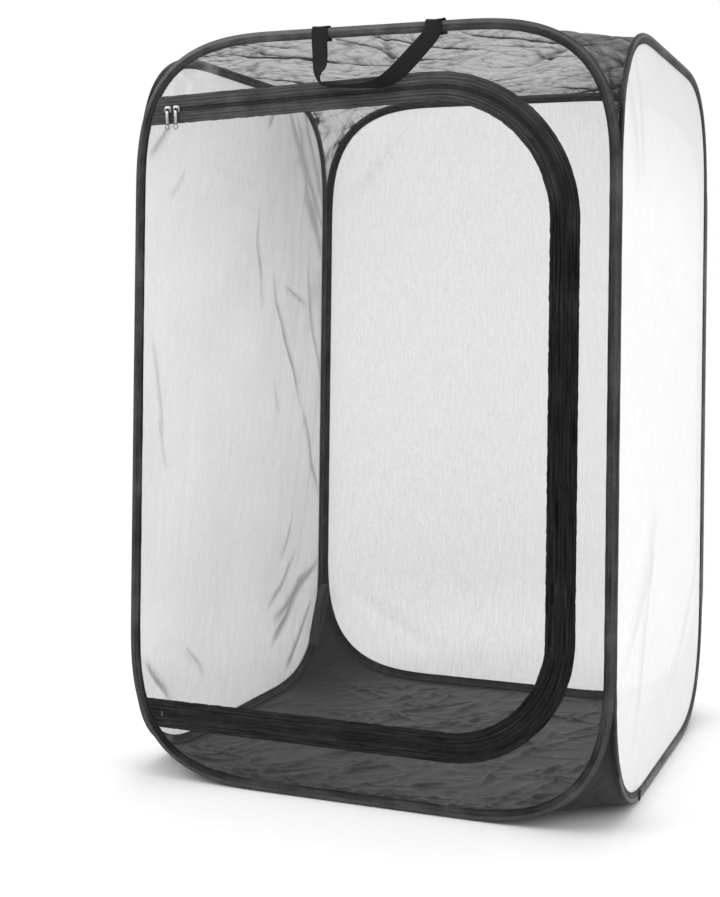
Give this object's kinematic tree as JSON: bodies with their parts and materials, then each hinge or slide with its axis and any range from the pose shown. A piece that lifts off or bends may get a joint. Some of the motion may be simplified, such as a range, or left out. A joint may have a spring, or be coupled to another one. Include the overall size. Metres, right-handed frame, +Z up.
{
  "type": "insect cage",
  "caption": "Pop-up net cage for insects: spring hoops in fabric binding, net walls and roof, cloth floor, clear front with a zipped door and a carry handle.",
  "frame": {"origin": "on the ground, at the middle of the floor's underside", "axes": "+Z up, the zipped front faces -Y, +X to the right seen from the front"},
  "size_m": [0.6022, 0.6043, 0.9015],
  "materials": {
    "binding_tape": "woven dark grey binding tape",
    "black_webbing": "woven black webbing",
    "white_net": "fine white insect net",
    "black_net": "fine black insect net",
    "clear_film": "clear flexible film",
    "floor_cloth": "dark grey coated oxford cloth",
    "spring_steel": "drawn spring wire",
    "plated_metal": "nickel plated",
    "zip_coil": "black nylon coil",
    "zip_tape": "woven black zipper tape"
  },
  "bodies": {
    "front": {"front_binding": "binding_tape", "front_spring_hoop": "spring_steel", "front_hoop_sleeve": "plated_metal", "film_margin": "clear_film", "zip_outer_tape": "zip_tape", "zip_outer_chain": "zip_coil", "zip_end_tape_top": "zip_tape", "zip_end_tape_bottom": "zip_tape", "zip_end_chain_top": "zip_coil", "zip_end_chain_bottom": "zip_coil", "zip_stop_top": "plated_metal", "zip_stop_bottom": "plated_metal", "handle_anchor_left": "black_webbing", "handle_anchor_right": "black_webbing", "floor_cloth": "floor_cloth", "roof_net": "black_net"},
    "left": {"left_binding": "binding_tape", "left_spring_hoop": "spring_steel", "left_hoop_sleeve": "plated_metal", "left_net": "white_net", "tie_loop": "binding_tape"},
    "right": {"right_binding": "binding_tape", "right_spring_hoop": "spring_steel", "right_hoop_sleeve": "plated_metal", "right_net": "white_net", "right_binding_tab": "black_webbing"},
    "back": {"back_binding": "binding_tape", "back_spring_hoop": "spring_steel", "back_hoop_sleeve": "plated_metal", "back_net": "white_net"},
    "door": {"door_film": "clear_film", "zip_inner_tape": "zip_tape", "zip_inner_chain": "zip_coil"},
    "slider_left": {"slider_left": "plated_metal", "slider_left_bail": "plated_metal"},
    "slider_left_pull": {"slider_left_pull": "plated_metal"},
    "slider_right": {"slider_right": "plated_metal", "slider_right_bail": "plated_metal"},
    "slider_right_pull": {"slider_right_pull": "plated_metal"},
    "handle": {"handle_strap": "black_webbing"}
  },
  "joints": [
    {"name": "fold_left", "type": "hinge", "parent": "front", "child": "left", "pos_m": [-0.29425, -0.29395, 0.45], "axis": [0, 0, 1], "range_deg": [-85, 0], "deforming": ["floor_cloth", "roof_net"]},
    {"name": "fold_right", "type": "hinge", "parent": "front", "child": "right", "pos_m": [0.3, -0.29395, 0.45], "axis": [0, 0, 1], "range_deg": [-85, 0]},
    {"name": "fold_back", "type": "hinge", "parent": "left", "child": "back", "pos_m": [-0.3, 0.29395, 0.45], "axis": [0, 0, 1], "range_deg": [0, 85]},
    {"name": "door_hinge", "type": "hinge", "parent": "front", "child": "door", "pos_m": [-0.2355, -0.29973, 0.45], "axis": [0, 0, -1], "range_deg": [0, 140]},
    {"name": "slider_left_slide", "type": "slide", "parent": "front", "child": "slider_left", "axis": [0.9991, 0, 0.0419], "range_m": [0, 0.002]},
    {"name": "slider_right_slide", "type": "slide", "parent": "front", "child": "slider_right", "axis": [0.9991, 0, 0.0419], "range_m": [0, 0.315]},
    {"name": "slider_left_pull_swing", "type": "hinge", "parent": "slider_left", "child": "slider_left_pull", "pos_m": [-0.2555, -0.30273, 0.81143], "axis": [-0.9991, 0, -0.0419], "range_deg": [0, 150]},
    {"name": "slider_right_pull_swing", "type": "hinge", "parent": "slider_right", "child": "slider_right_pull", "pos_m": [-0.244, -0.30273, 0.81191], "axis": [-0.9991, 0, -0.0419], "range_deg": [0, 150]},
    {"name": "handle_swing", "type": "hinge", "parent": "front", "child": "handle", "pos_m": [0.014, -0.30165, 0.88635], "axis": [-1, 0, 0], "range_deg": [0, 180]}
  ],
  "couplings": [
    {"joint": "fold_right", "follows": "fold_left", "ratio": 1},
    {"joint": "fold_back", "follows": "fold_left", "ratio": -1}
  ]
}
